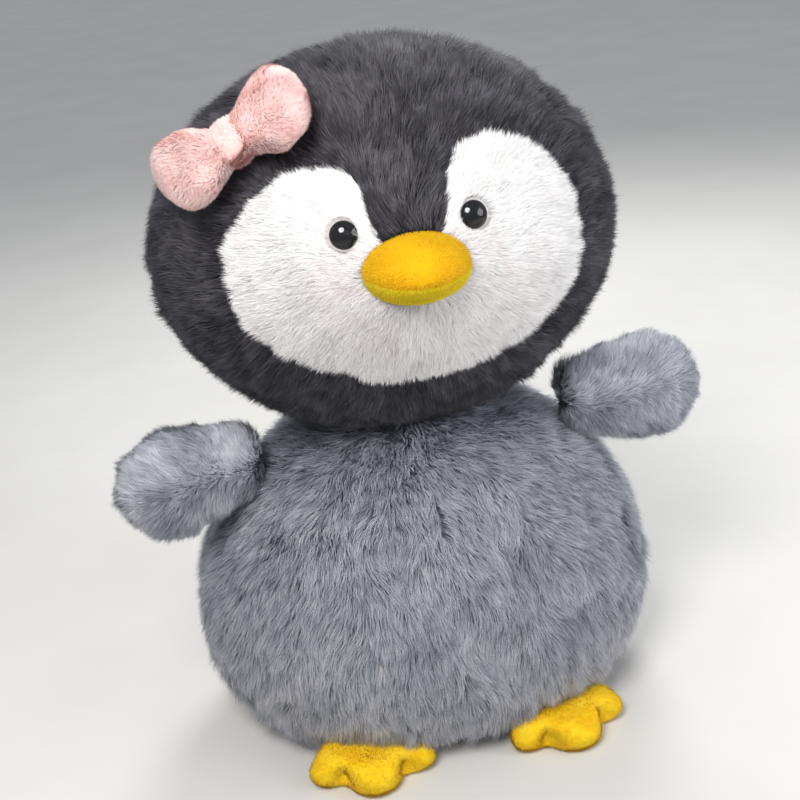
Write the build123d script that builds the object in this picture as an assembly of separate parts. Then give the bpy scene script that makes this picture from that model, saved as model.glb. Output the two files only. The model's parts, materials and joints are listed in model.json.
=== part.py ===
"""Plush penguin, standing on its base and feet.

Millimetres, +Z up, the face looks along -Y. The origin is the middle of the flat underside of the body.
Every cover is drawn to the outer envelope of its pile, so a cover's thickness is pile plus backing cloth.
Head, body and wings are first turned as round forms, because their covers and seams are cut there,
and each piece is then squeezed front to back.
"""

import os
from math import atan2, cos, degrees, radians, sin

from build123d import *

# ---------------------------------------------------------------- driving dimensions
SEAM_GAP = 0.2  # between a cover and the filling inside it
JOINT_GAP = 0.4  # between two bodies that move on each other

LONG_PILE = 9.5  # fur of head, body and wings
BACKING = 1.5  # knitted cloth that carries the pile
FUR = LONG_PILE + BACKING
VELOUR = 2.4  # short-pile cloth of feet and beak
BOW_PLUSH = 3.5  # short plush of the bow

DEPTH_RATIO = 0.765  # front-to-back size of head and body over their width

# body: flat base, widest level and flat shoulder, joined by quarter ellipses
BASE_HALF_WIDTH = 91
WIDEST_HALF_WIDTH, WIDEST_HEIGHT = 138.5, 68
SHOULDER_HALF_WIDTH, SHOULDER_HEIGHT = 44, 182
BASE_PANEL_THICKNESS = 4
BASE_PANEL_HALF_WIDTH = 88
BACK_SEAM_Y = 12  # the seam from flank to flank and over the crown, before squeezing

# neck: a stuffed plug that turns in the body and carries the head on its ball-shaped top
NECK_PIVOT_HEIGHT = 120
NECK_BALL_RADIUS = 78
NECK_RADIUS = 46
NECK_FOOT_HEIGHT = 170

# head
HEAD_CENTRE_HEIGHT = 287
HEAD_HALF_WIDTH = 130
HEAD_CROWN_HEIGHT = 109  # from the widest level up to the top
HEAD_CHIN_DEPTH = 101  # and down to the chin, before the neck's dish is taken out

# white face patch: right half of its outline about the head's centre, from chin to the dark stripe's foot
FACE_OUTLINE = [(0, -50), (48, -45), (79, -24), (88, 8), (83, 34), (66, 54), (43, 63), (25, 54), (18, 38), (16, 24), (0, 14)]

# eyes, beak and bow on the head, about the head's centre
EYE_OUT, EYE_UP, EYE_SINK = 32.5, 27.5, 8.0
EYE_RADIUS, EYE_SKIRT, EYE_HEIGHT = 9.0, 1.6, 7.4
PUPIL_RADIUS, PUPIL_SKIRT, PUPIL_HEIGHT = 7.6, 1.0, 5.2
POST_RADIUS, POST_LENGTH, POST_RIB = 2.4, 15, 0.35
WASHER_RADIUS, WASHER_THICKNESS, WASHER_DEPTH = 9.5, 1.6, 4.2

BEAK_HALF_WIDTH, BEAK_REACH, BEAK_HALF_HEIGHT = 26.5, 27, 16.5
BEAK_BACK_Y, BEAK_UP = -91.5, 8
BEAK_SEAM_DROP = 3.5  # the mouth seam lies below the beak's middle

BOW_OUT, BOW_UP = -71, 67  # left of and above the head's centre
BOW_SINK = 2  # how far the bow presses into the fur
BOW_LOOP_LENGTH, BOW_LOOP_WIDTH, BOW_LOOP_DEPTH = 42, 42, 25
BOW_TILT = 38  # the loops' line, turned up from level
KNOT_LENGTH, KNOT_RADIUS, KNOT_ROUND = 15, 11.5, 4
LOOP_TUCK = 5  # how much of a loop is gathered away under the knot

# wings: half heights of the paddle at distances out from the pivot
WING_PIVOT = (92, -16, 178)
WING_ROOT_RADIUS = 26.6
WING_ROOT_ANGLE = 68  # where the root ball runs out into the blade
WING_LENGTH = 80
WING_PROFILE = [(21, 20.5), (32, 22.5), (48, 30.5), (62, 28.8), (74, 18.7)]
WING_THICKNESS_RATIO = 0.58
WING_SWEEP = 12  # the tips point a little forward
WING_LIFT = {"left": -5, "right": 5}

# feet: each toe's angle from straight ahead, reach to the middle of its tip, and tip radius
FOOT_PIVOT = (54, -62, 0)
FOOT_THICKNESS = 18
HEEL_RADIUS = 20
TOES = [(-49, 37, 9.5), (0, 34, 15), (49, 37, 9.5)]
FOOT_SPLAY = {"left": -3, "right": 14}
FOOT_SOLE_HEIGHT = 7
FOOT_EDGE_ROUND, FILLING_EDGE_ROUND = 5.5, 2
TOE_ROOM = 2 * FOOT_PIVOT[0]  # width of the room under the body for each foot's toes
TOE_ROOM_BACK = 6  # how far the room reaches behind the pivot

SIDES = {"left": -1, "right": 1}
HUGE = 1200

# ---------------------------------------------------------------- shapes used by several pieces
parts = {}
ON_BASE = (Align.CENTER, Align.CENTER, Align.MIN)
HANGING = (Align.CENTER, Align.CENTER, Align.MAX)


def keep(name, shape):
    """Store one finished piece under its node name, as plain solids."""
    solids = shape.solids()
    parts[name] = solids[0] if len(solids) == 1 else Compound(children=list(solids))


def half_space(side, axis, start=0.0):
    """A large box on one side of the plane at start along axis."""
    middle = start + side * HUGE / 2
    centre = {"x": (middle, 0, 0), "y": (0, middle, 0), "z": (0, 0, middle)}[axis]
    return Pos(*centre) * Box(HUGE, HUGE, HUGE)


def turned(outline):
    """A solid of revolution about Z from half an outline, given as edges in X and height."""
    return revolve(make_face([Plane.XZ * edge for edge in outline]), Axis.Z)


def squeezed(shape, ratio=DEPTH_RATIO):
    """The shape made thinner along Y."""
    return scale(shape, by=(1, ratio, 1))


def body_form(inset=0.0):
    """The round body: flat base, full flanks and flat shoulder, shrunk by inset."""
    base, widest, shoulder = (size - inset for size in (BASE_HALF_WIDTH, WIDEST_HALF_WIDTH, SHOULDER_HALF_WIDTH))
    low, high = inset, SHOULDER_HEIGHT - inset
    drop, rise = WIDEST_HEIGHT - low, high - WIDEST_HEIGHT
    hip = EllipticalCenterArc((base, WIDEST_HEIGHT), widest - base, drop, start_angle=270, arc_size=90)
    chest = EllipticalCenterArc((shoulder, WIDEST_HEIGHT), widest - shoulder, rise, start_angle=0, arc_size=90)
    top = Line((shoulder, high), (0, high))
    return turned([Line((0, low), (base, low)), hip, chest, top, Line((0, high), (0, low))])


def head_form(inset=0.0):
    """The round head: half an ellipse for the crown and a flatter one for the chin, shrunk by inset."""
    half = HEAD_HALF_WIDTH - inset
    crown = HEAD_CROWN_HEIGHT - inset
    chin = HEAD_CHIN_DEPTH - inset
    upper = EllipticalCenterArc((0, 0), half, crown, start_angle=0, arc_size=90)
    lower = EllipticalCenterArc((0, 0), half, chin, start_angle=270, arc_size=90)
    return Pos(0, 0, HEAD_CENTRE_HEIGHT) * turned([upper, lower, Line((0, crown), (0, -chin))])


def head_front(out, up, sink):
    """The place on the head's front at out and up from its centre, sunk under the pile, facing outwards."""
    half, depth, crown = (
        size - sink for size in (HEAD_HALF_WIDTH, HEAD_HALF_WIDTH * DEPTH_RATIO, HEAD_CROWN_HEIGHT)
    )
    y = -depth * (1 - (out / half) ** 2 - (up / crown) ** 2) ** 0.5
    normal = Vector(out / half**2, y / depth**2, up / crown**2).normalized()
    return Vector(out, y, up + HEAD_CENTRE_HEIGHT), normal


def side_place(pivot, side):
    """A pivot given for the right side, moved to the named side."""
    x, y, z = pivot
    return Pos(SIDES[side] * x, y, z)


# ---------------------------------------------------------------- body
def foot_room(side):
    """The space under the body in which a foot swivels: a wide one for its toes, a round one for its heel."""
    height = 2 * (FOOT_THICKNESS + JOINT_GAP)
    toe_room = Pos(0, TOE_ROOM_BACK - TOE_ROOM / 2, 0) * Box(TOE_ROOM + JOINT_GAP, TOE_ROOM, height)
    return side_place(FOOT_PIVOT, side) * (toe_room + Cylinder(HEEL_RADIUS + JOINT_GAP, height))


def base_panel():
    """The flat oval of cloth that the toy sits on."""
    half_width = BASE_PANEL_HALF_WIDTH - SEAM_GAP
    return extrude(Ellipse(half_width, half_width * DEPTH_RATIO), BASE_PANEL_THICKNESS)


def make_body():
    neck_seat = Pos(0, 0, NECK_FOOT_HEIGHT - JOINT_GAP) * Cylinder(NECK_RADIUS + JOINT_GAP, 60, align=ON_BASE)
    seats = [neck_seat]
    for side in SIDES:
        seats.append(side_place(WING_PIVOT, side) * Sphere(WING_ROOT_RADIUS + JOINT_GAP))
        seats.append(foot_room(side))

    cover = body_form() - body_form(FUR)
    cover -= Cylinder(BASE_PANEL_HALF_WIDTH, BASE_PANEL_THICKNESS, align=ON_BASE)
    back = cover & half_space(1, "y", BACK_SEAM_Y)
    pieces = {
        "body_front_panel": squeezed(cover & half_space(-1, "y", BACK_SEAM_Y)),
        "body_back_left_panel": squeezed(back & half_space(-1, "x")),
        "body_back_right_panel": squeezed(back & half_space(1, "x")),
        "body_base_panel": base_panel(),
        "body_stuffing": squeezed(body_form(FUR + SEAM_GAP)),
    }
    for name, piece in pieces.items():
        for seat in seats:
            piece -= seat
        keep(name, piece)


# ---------------------------------------------------------------- neck
def make_neck():
    """The stuffed plug in the neck: round in the body's seat, ball-shaped under the head."""
    plug = Pos(0, 0, NECK_FOOT_HEIGHT) * Cylinder(NECK_RADIUS, 60, align=ON_BASE)
    ball = Pos(0, 0, NECK_PIVOT_HEIGHT) * Sphere(NECK_BALL_RADIUS)
    keep("neck_stuffing", plug & ball)


# ---------------------------------------------------------------- eyes
def domed(radius, skirt, height):
    """A button with a straight skirt and a domed top, standing on Z = 0."""
    rise = height - skirt
    sphere = (radius**2 + rise**2) / (2 * rise)
    start = degrees(atan2(sphere - rise, radius))
    dome = CenterArc((0, height - sphere), sphere, start, 90 - start)
    wall = Line((radius, 0), (radius, skirt))
    return turned([Line((0, 0), (radius, 0)), wall, dome, Line((0, height), (0, 0))])


def eye_place(side):
    seat, normal = head_front(SIDES[side] * EYE_OUT, EYE_UP, EYE_SINK)
    return Plane(origin=seat, z_dir=normal).location


def make_eye(side):
    """A safety eye: clear dome over a black pupil, on a ribbed post with a lock washer behind the cloth."""
    place = eye_place(side)
    pupil = domed(PUPIL_RADIUS, PUPIL_SKIRT, PUPIL_HEIGHT)
    lens = domed(EYE_RADIUS, EYE_SKIRT, EYE_HEIGHT) - pupil
    post = Cylinder(POST_RADIUS, POST_LENGTH, align=HANGING)
    for step in range(3):
        post += Pos(0, 0, -WASHER_DEPTH - 3.5 - 2.6 * step) * Cylinder(POST_RADIUS + POST_RIB, 0.9)
    washer = Pos(0, 0, -WASHER_DEPTH) * Cylinder(WASHER_RADIUS, WASHER_THICKNESS, align=HANGING)
    washer -= Cylinder(POST_RADIUS + 0.05, 2 * POST_LENGTH)
    keep(f"eye_{side}_lens", place * lens)
    keep(f"eye_{side}_pupil", place * pupil)
    keep(f"eye_{side}_post", place * post)
    keep(f"eye_{side}_washer", place * washer)


def eye_rooms(side):
    """The room of an eye in the pile, of its post through the cloth, and of its washer in the filling."""
    pocket = Cylinder(EYE_RADIUS + 0.2, 4 * EYE_HEIGHT, align=ON_BASE)
    hole = Cylinder(POST_RADIUS + 0.5, POST_LENGTH + 1, align=HANGING)
    washer_room = Cylinder(WASHER_RADIUS + 0.4, WASHER_THICKNESS + 0.4, align=HANGING)
    rooms = (pocket, hole, Pos(0, 0, SEAM_GAP - WASHER_DEPTH) * washer_room)
    return [eye_place(side) * room for room in rooms]


# ---------------------------------------------------------------- beak
def bill(inset):
    """Half an egg that points along -Y from a flat back, wider than tall."""
    half = BEAK_HALF_WIDTH - inset
    reach = BEAK_REACH - inset
    edge = EllipticalCenterArc((0, 0), half, reach, start_angle=270, arc_size=90)
    outline = make_face([edge, Line((0, -reach), (0, 0)), Line((0, 0), (half, 0))])
    return revolve(outline, Axis.Y)


def make_beak():
    """A short stuffed bill: upper and lower panel meet at the mouth seam, its back lies on the face cloth."""
    height_ratio = BEAK_HALF_HEIGHT / BEAK_HALF_WIDTH
    cover = bill(0) - bill(VELOUR)
    seam = -BEAK_SEAM_DROP / height_ratio
    pieces = {
        "beak_upper": cover & half_space(1, "z", seam),
        "beak_lower": cover & half_space(-1, "z", seam),
        "beak_stuffing": bill(VELOUR + SEAM_GAP),
    }
    place = Pos(0, BEAK_BACK_Y, HEAD_CENTRE_HEIGHT + BEAK_UP)
    for name, piece in pieces.items():
        keep(name, place * scale(piece, by=(1, 1, height_ratio)))


def beak_room():
    """The opening in the pile through which the beak stands out."""
    rim = Plane.XZ * Ellipse(BEAK_HALF_WIDTH + 0.2, BEAK_HALF_HEIGHT + 0.2)
    return Pos(0, BEAK_BACK_Y, HEAD_CENTRE_HEIGHT + BEAK_UP) * extrude(rim, HUGE / 10, dir=(0, -1, 0))


# ---------------------------------------------------------------- bow
def egg(length, width):
    """An egg of revolution along X."""
    arc = EllipticalCenterArc((0, 0), length / 2, width / 2, start_angle=0, arc_size=180)
    return revolve(make_face([arc, Line((-length / 2, 0), (length / 2, 0))]), Axis.X)


def bow_place():
    """Where the bow lies on the fur: its X runs along the loops and its Z away from the head."""
    spot, normal = head_front(BOW_OUT, BOW_UP, BOW_SINK)
    level = Vector(0, 0, 1).cross(normal).normalized()
    return Plane(origin=spot, x_dir=level, z_dir=normal).location * Rot(0, 0, BOW_TILT)


def bow_room():
    """The pile that the bow presses flat."""
    return bow_place() * Pos(0, 0, -SEAM_GAP) * Box(2 * BOW_LOOP_LENGTH, BOW_LOOP_WIDTH, BOW_LOOP_DEPTH, align=ON_BASE)


def make_bow():
    """Two stuffed loops gathered under a knot band, sewn flat onto the fur of the head's left side."""
    place = bow_place() * Pos(0, 0, BOW_LOOP_DEPTH / 2)
    for side, sign in SIDES.items():
        shift = Pos(sign * (KNOT_LENGTH / 2 - LOOP_TUCK + BOW_LOOP_LENGTH / 2), 0, 0)
        outside_knot = half_space(sign, "x", sign * KNOT_LENGTH / 2)
        whole, hollow, filling = (
            shift * egg(BOW_LOOP_LENGTH - 2 * inset, BOW_LOOP_WIDTH - 2 * inset)
            for inset in (0, BOW_PLUSH, BOW_PLUSH + SEAM_GAP)
        )
        flat = (1, 1, BOW_LOOP_DEPTH / BOW_LOOP_WIDTH)
        keep(f"bow_loop_{side}", place * scale((whole - hollow) & outside_knot, by=flat))
        keep(f"bow_stuffing_{side}", place * scale(filling & outside_knot, by=flat))
    knot = Cylinder(KNOT_RADIUS, KNOT_LENGTH)
    knot = fillet(knot.edges().filter_by(GeomType.CIRCLE), KNOT_ROUND)
    keep("bow_knot", place * Rot(0, 90, 0) * knot)


# ---------------------------------------------------------------- head
def make_head():
    dish = Pos(0, 0, NECK_PIVOT_HEIGHT) * Sphere(NECK_BALL_RADIUS + JOINT_GAP)
    cuts = [dish, beak_room(), bow_room()]
    for side in SIDES:
        make_eye(side)
        cuts += eye_rooms(side)
    make_beak()
    make_bow()

    half_outline = Spline(*FACE_OUTLINE, tangents=[(1, 0), (-1, 0)])
    outline = make_face([half_outline, mirror(half_outline, Plane.YZ)])
    prism = Pos(0, 0, HEAD_CENTRE_HEIGHT) * extrude(Plane.XZ * outline, HUGE / 2, dir=(0, -1, 0))

    cover = head_form() - head_form(FUR)
    front = cover & half_space(-1, "y", BACK_SEAM_Y)
    back = cover & half_space(1, "y", BACK_SEAM_Y)
    pieces = {
        "face_patch": front & prism,
        "head_front_panel": front - prism,
        "head_back_left_panel": back & half_space(-1, "x"),
        "head_back_right_panel": back & half_space(1, "x"),
        "head_stuffing": head_form(FUR + SEAM_GAP),
    }
    for name, piece in pieces.items():
        piece = squeezed(piece)
        for cut in cuts:
            piece -= cut
        keep(name, piece)


# ---------------------------------------------------------------- wings
def wing_form(inset=0.0):
    """A round club along +X from its pivot: a ball root, a slight waist and a swelling blade."""
    root = WING_ROOT_RADIUS - inset
    tip = WING_LENGTH - inset
    ball = CenterArc((0, 0), root, WING_ROOT_ANGLE, 180 - WING_ROOT_ANGLE)
    along = (sin(radians(WING_ROOT_ANGLE)), -cos(radians(WING_ROOT_ANGLE)))
    start = ball @ 0
    blade = Spline(
        start, *[(reach, half - inset) for reach, half in WING_PROFILE], (tip, 0), tangents=[along, (0, -1)]
    )
    return revolve(make_face([ball, blade, Line((-root, 0), (tip, 0))]), Axis.X)


def make_wing(side):
    sign = SIDES[side]
    facing = Rot(0, 0, 0 if sign > 0 else 180) * Rot(0, 0, -sign * WING_SWEEP)
    place = side_place(WING_PIVOT, side) * Rot(0, -sign * WING_LIFT[side], 0) * facing
    cover = wing_form() - wing_form(FUR)
    pieces = {
        f"wing_{side}_front_panel": cover & half_space(-sign, "y"),
        f"wing_{side}_back_panel": cover & half_space(sign, "y"),
        f"wing_{side}_stuffing": wing_form(FUR + SEAM_GAP),
    }
    for name, piece in pieces.items():
        keep(name, place * squeezed(piece, WING_THICKNESS_RATIO))


# ---------------------------------------------------------------- feet
def foot_form(inset=0.0, edge_round=FOOT_EDGE_ROUND):
    """A flat padded foot along -Y from its pivot: a round heel and three toes."""
    heel = Circle(HEEL_RADIUS - inset)
    outline = heel
    for angle, reach, radius in TOES:
        tip = Pos(reach * sin(radians(angle)), -reach * cos(radians(angle)))
        toe = tip * Circle(radius - inset)
        outline += make_hull((Circle(radius - inset).edges() + toe.edges()))
    pad = extrude(outline, FOOT_THICKNESS - 2 * inset)
    pad = fillet(pad.faces().sort_by(Axis.Z)[-1].edges(), edge_round)
    return Pos(0, 0, inset) * pad


def make_foot(side):
    place = side_place(FOOT_PIVOT, side) * Rot(0, 0, FOOT_SPLAY[side])
    cover = foot_form() - foot_form(VELOUR, FILLING_EDGE_ROUND)
    keep(f"foot_{side}_upper", place * (cover & half_space(1, "z", FOOT_SOLE_HEIGHT)))
    keep(f"foot_{side}_sole", place * (cover & half_space(-1, "z", FOOT_SOLE_HEIGHT)))
    keep(f"foot_{side}_stuffing", place * foot_form(VELOUR + SEAM_GAP, FILLING_EDGE_ROUND))


# ---------------------------------------------------------------- all pieces
make_body()
make_neck()
make_head()
for side in SIDES:
    make_wing(side)
    make_foot(side)

os.makedirs("parts", exist_ok=True)
for name, shape in parts.items():
    export_step(shape, f"parts/{name}.step")
print(len(parts), "pieces")
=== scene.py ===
"""Looks of the plush penguin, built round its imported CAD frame.

Metres, +Z up, the face looks along -Y. Each fur cover of the CAD is an envelope round the tips of the pile,
so here the cloth of a cover lies deeper by the height of the pile and the hairs reach out to the envelope.
"""

import json
from math import asin, cos, pi, radians, sin

import bmesh
import bpy
import numpy as np
from mathutils import Matrix, Vector
from mathutils.kdtree import KDTree


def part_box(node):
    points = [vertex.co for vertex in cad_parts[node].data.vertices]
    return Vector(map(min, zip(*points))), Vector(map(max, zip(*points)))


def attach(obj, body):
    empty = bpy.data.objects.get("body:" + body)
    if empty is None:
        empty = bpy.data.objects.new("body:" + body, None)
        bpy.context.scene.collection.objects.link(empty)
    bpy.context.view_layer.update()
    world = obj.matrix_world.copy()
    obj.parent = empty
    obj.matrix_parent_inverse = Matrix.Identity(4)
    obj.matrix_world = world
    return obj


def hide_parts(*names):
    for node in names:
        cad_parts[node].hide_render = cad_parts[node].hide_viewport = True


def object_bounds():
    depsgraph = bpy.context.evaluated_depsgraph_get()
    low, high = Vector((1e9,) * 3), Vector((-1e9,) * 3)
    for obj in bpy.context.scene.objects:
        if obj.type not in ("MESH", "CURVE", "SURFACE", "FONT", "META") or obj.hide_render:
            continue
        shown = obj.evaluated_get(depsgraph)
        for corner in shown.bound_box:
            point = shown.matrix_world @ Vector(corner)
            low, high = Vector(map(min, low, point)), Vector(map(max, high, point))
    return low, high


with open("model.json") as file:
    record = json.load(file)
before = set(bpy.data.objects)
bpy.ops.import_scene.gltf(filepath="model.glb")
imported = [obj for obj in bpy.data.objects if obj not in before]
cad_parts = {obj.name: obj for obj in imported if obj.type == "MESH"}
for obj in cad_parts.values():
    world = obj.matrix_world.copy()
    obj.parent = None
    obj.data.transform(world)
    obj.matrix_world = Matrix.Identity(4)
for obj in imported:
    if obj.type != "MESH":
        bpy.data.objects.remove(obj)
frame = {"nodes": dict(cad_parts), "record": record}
cad_low, cad_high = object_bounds()
MM = 0.001
SIDES = {"left": -1, "right": 1}
JOINTS = {joint["name"]: joint for joint in frame["record"]["behaviour"]["joints"]}


# ---------------------------------------------------------------- camera
def make_camera():
    """The viewpoint: above the toy, a little to its left, turned about its own axis."""
    data = bpy.data.cameras.new("camera")
    data.lens, data.sensor_width = 60, 36
    camera = bpy.data.objects.new("camera", data)
    right, up = Vector((0.9752, -0.1915, -0.1107)).normalized(), Vector((0.1748, 0.3607, 0.9161))
    back = right.cross(up).normalized()
    up = back.cross(right)
    turn = Matrix((right, up, back)).transposed().to_4x4()
    camera.matrix_world = Matrix.Translation((-0.10657, -0.70382, 0.48571)) @ turn
    bpy.context.collection.objects.link(camera)
    bpy.context.scene.camera = camera


make_camera()
bpy.context.scene.view_settings.view_transform = "Standard"

# ---------------------------------------------------------------- sizes from the frame
PILE = 8.5 * MM  # height of the combed fur over its cloth
DEPTH_RATIO = 0.765  # front-to-back size of head and body over their width

BODY_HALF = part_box("body_front_panel")[1][0]
BODY_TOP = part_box("neck_stuffing")[0][2] + 12 * MM
BODY_WIDEST, BODY_BASE_HALF, BODY_SHOULDER_HALF = 68 * MM, 91 * MM, 44 * MM
BACK_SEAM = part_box("body_back_left_panel")[0][1]

HEAD_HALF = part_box("head_front_panel")[1][0]
HEAD_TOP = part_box("head_back_left_panel")[1][2]
CROWN, CHIN = 109 * MM, 101 * MM
HEAD_MIDDLE = HEAD_TOP - CROWN
FOOT_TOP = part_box("foot_left_upper")[1][2]
# radius of the neck's ball-shaped top
NECK_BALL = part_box("neck_stuffing")[1][2] - JOINTS["head_nod"]["pos_m"][2]

# white face patch: right half of its outline about the head's middle, in mm, from chin to the dark stripe
FACE_OUTLINE = [
    (0, -50), (48, -45), (79, -24), (88, 8), (83, 34), (66, 54), (43, 63), (25, 54), (18, 38), (16, 24), (0, 14),
]


# ---------------------------------------------------------------- small helpers
def smooth(low, high, x):
    """0 below low, 1 above high, an even curve between."""
    t = np.clip((np.asarray(x, float) - low) / (high - low), 0, 1)
    return t * t * (3 - 2 * t)


def unit(v):
    return v / np.maximum(np.linalg.norm(v, axis=-1, keepdims=True), 1e-12)


def waves(points, size, seed):
    """Even noise of about -1 to 1 whose lumps are about this size."""
    rng = np.random.default_rng(seed)
    k = unit(rng.normal(size=(14, 3))) * (2 * pi / size) * rng.uniform(0.5, 1.5, (14, 1))
    return np.sin(points @ k.T + rng.uniform(0, 2 * pi, 14)).sum(1) / 14**0.5 / 0.9


def srgb(r, g, b):
    """A shader colour from the 0-255 numbers of a screen colour."""
    return tuple(((c / 255 + 0.055) / 1.055) ** 2.4 if c > 10 else c / 255 / 12.92 for c in (r, g, b)) + (1.0,)


def mesh_object(name, points, faces, material=None, shade_smooth=True):
    mesh = bpy.data.meshes.new(name)
    mesh.from_pydata([tuple(p) for p in points], [], [tuple(f) for f in faces])
    mesh.polygons.foreach_set("use_smooth", [shade_smooth] * len(mesh.polygons))
    mesh.update()
    obj = bpy.data.objects.new(name, mesh)
    bpy.context.collection.objects.link(obj)
    if material:
        mesh.materials.append(material)
    return obj


def lofted(name, rings, start, end, material=None):
    """A closed skin through rings of points, (rings, points, 3), ending in the points start and end."""
    m, n = rings.shape[:2]
    points = np.vstack([rings.reshape(-1, 3), [start], [end]])
    faces = []
    for i in range(m - 1):
        for j in range(n):
            k = (j + 1) % n
            faces.append((i * n + j, i * n + k, (i + 1) * n + k, (i + 1) * n + j))
    for j in range(n):
        k = (j + 1) % n
        faces.append((m * n, k, j))
        faces.append((m * n + 1, (m - 1) * n + j, (m - 1) * n + k))
    obj = mesh_object(name, points, faces, material)
    shell = bmesh.new()
    shell.from_mesh(obj.data)
    bmesh.ops.recalc_face_normals(shell, faces=shell.faces)
    shell.to_mesh(obj.data)
    shell.free()
    obj.data.update()
    return obj


def vertex_data(obj):
    """(points, normals) of a mesh's vertices."""
    mesh = obj.data
    points, normals = np.zeros(len(mesh.vertices) * 3), np.zeros(len(mesh.vertices) * 3, np.float32)
    mesh.vertices.foreach_get("co", points)
    mesh.vertex_normals.foreach_get("vector", normals)
    return points.reshape(-1, 3), normals.reshape(-1, 3).astype(float)


def set_points(obj, points):
    obj.data.vertices.foreach_set("co", np.asarray(points, float).ravel())
    obj.data.update()


# ---------------------------------------------------------------- materials
class Nodes:
    """Short spelling for building one material's node tree."""

    def __init__(self, name, roughness=0.9, **plain):
        self.material = bpy.data.materials.new(name)
        self.material.use_nodes = True
        self.tree = self.material.node_tree
        self.shader = self.tree.nodes["Principled BSDF"]
        self.shader.inputs["Roughness"].default_value = roughness
        for socket, value in plain.items():
            self.shader.inputs[socket.replace("_", " ")].default_value = value

    def add(self, kind, **settings):
        node = self.tree.nodes.new("ShaderNode" + kind)
        for key, value in settings.items():
            setattr(node, key, value)
        return node

    def link(self, a, b):
        self.tree.links.new(a, b)

    def ramp(self, source, stops):
        node = self.add("ValToRGB")
        ramp = node.color_ramp
        while len(ramp.elements) < len(stops):
            ramp.elements.new(0.5)
        for element, (at, colour) in zip(ramp.elements, stops):
            element.position, element.color = at, colour
        self.link(source, node.inputs["Fac"])
        return node.outputs["Color"]

    def noise(self, scale, detail=3.0, roughness=0.6, coordinates=None):
        node = self.add("TexNoise")
        node.inputs["Scale"].default_value = scale
        node.inputs["Detail"].default_value = detail
        node.inputs["Roughness"].default_value = roughness
        self.link(coordinates or self.place(), node.inputs["Vector"])
        return node.outputs["Fac"]

    def place(self):
        return self.add("TexCoord").outputs["Object"]

    def mix(self, share, a, b, blend="MIX"):
        node = self.add("Mix", data_type="RGBA", blend_type=blend)
        for value, socket in ((share, node.inputs[0]), (a, node.inputs[6]), (b, node.inputs[7])):
            if isinstance(value, bpy.types.NodeSocket):
                self.link(value, socket)
            else:
                socket.default_value = value
        return node.outputs[2]

    def colour(self, socket):
        self.link(socket, self.shader.inputs["Base Color"])
        return self

    def bump(self, height, strength, distance):
        node = self.add("Bump")
        node.inputs["Strength"].default_value = strength
        node.inputs["Distance"].default_value = distance
        self.link(height, node.inputs["Height"])
        self.link(node.outputs["Normal"], self.shader.inputs["Normal"])
        return self


def fur_material(name, shaded_roots, tips):
    """Hair: colour runs from root to tip up the hair, and from the first to the last tone across the palette. The
    darker roots are painted shade deep in the pile.
    """
    n = Nodes(name, 0.75, Specular_IOR_Level=0.25)
    uv = n.add("UVMap", uv_map="OFBake").outputs["UV"]
    parts = n.add("SeparateXYZ")
    n.link(uv, parts.inputs[0])
    root = n.ramp(parts.outputs["X"], [(i / (len(shaded_roots) - 1), c) for i, c in enumerate(shaded_roots)])
    tip = n.ramp(parts.outputs["X"], [(i / (len(tips) - 1), c) for i, c in enumerate(tips)])
    # painted shade: each hair darkens towards its root, for the shade deep in the pile
    along = n.ramp(parts.outputs["Y"], [(0.0, (0, 0, 0, 1)), (0.8, (1, 1, 1, 1))])
    return n.colour(n.mix(along, root, tip)).material


def cloth_material(name, dark, light, scale=900.0, bump=0.3):
    """Knitted backing cloth or felt: a fine mottle in colour and height."""
    n = Nodes(name, 0.95, Sheen_Weight=0.2)
    noise = n.noise(scale)
    return n.colour(n.ramp(noise, [(0.3, dark), (0.7, light)])).bump(noise, bump, 0.0004).material


def velour_material(name, dark, middle, light):
    """Short-pile velour: soft patches where the pile lies differently, over a fine grain."""
    n = Nodes(name, 0.85, Sheen_Weight=0.08, Sheen_Roughness=0.5, Specular_IOR_Level=0.12)
    patches = n.ramp(n.noise(75, 3, 0.5), [(0.3, dark), (0.5, middle), (0.72, light)])
    grain = n.noise(1500, 4, 0.7)
    grains = n.ramp(grain, [(0.25, (0.72, 0.72, 0.72, 1)), (0.7, (1, 1, 1, 1))])
    return n.colour(n.mix(0.7, patches, grains, "MULTIPLY")).bump(grain, 0.5, 0.0005).material


# ---------------------------------------------------------------- fur
def scatter(obj, count, rng, keep=None):
    """(points, normals) of about count places spread evenly over a skin, where keep(points, normals) holds."""
    mesh = obj.data
    mesh.calc_loop_triangles()
    corners = np.zeros(len(mesh.loop_triangles) * 3, np.int32)
    mesh.loop_triangles.foreach_get("vertices", corners)
    corners = corners.reshape(-1, 3)
    points, normals = vertex_data(obj)
    a, b, c = (points[corners[:, i]] for i in range(3))
    area = np.linalg.norm(np.cross(b - a, c - a), axis=1)
    chosen = rng.choice(len(corners), count, p=area / area.sum())
    u, v = rng.random(count), rng.random(count)
    over = u + v > 1
    u[over], v[over] = 1 - u[over], 1 - v[over]
    weights = np.stack([1 - u - v, u, v], 1)[:, :, None]
    at = (points[corners[chosen]] * weights).sum(1)
    normal = unit((normals[corners[chosen]] * weights).sum(1))
    if keep is not None:
        held = keep(at, normal)
        at, normal = at[held], normal[held]
    return at, normal


def spread(at, rng, spacing):
    """Indices of hairs that lead a clump, one in each cell of this size."""
    cells = np.floor(at / spacing + rng.random(3)).astype(np.int64)
    key = cells[:, 0] * 73856093 ^ cells[:, 1] * 19349663 ^ cells[:, 2] * 83492791
    return np.unique(key, return_index=True)[1]


def nearest(at, leaders):
    tree = KDTree(len(leaders))
    for i, point in enumerate(at[leaders]):
        tree.insert(point, i)
    tree.balance()
    return np.array([tree.find(point)[1] for point in at])


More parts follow.
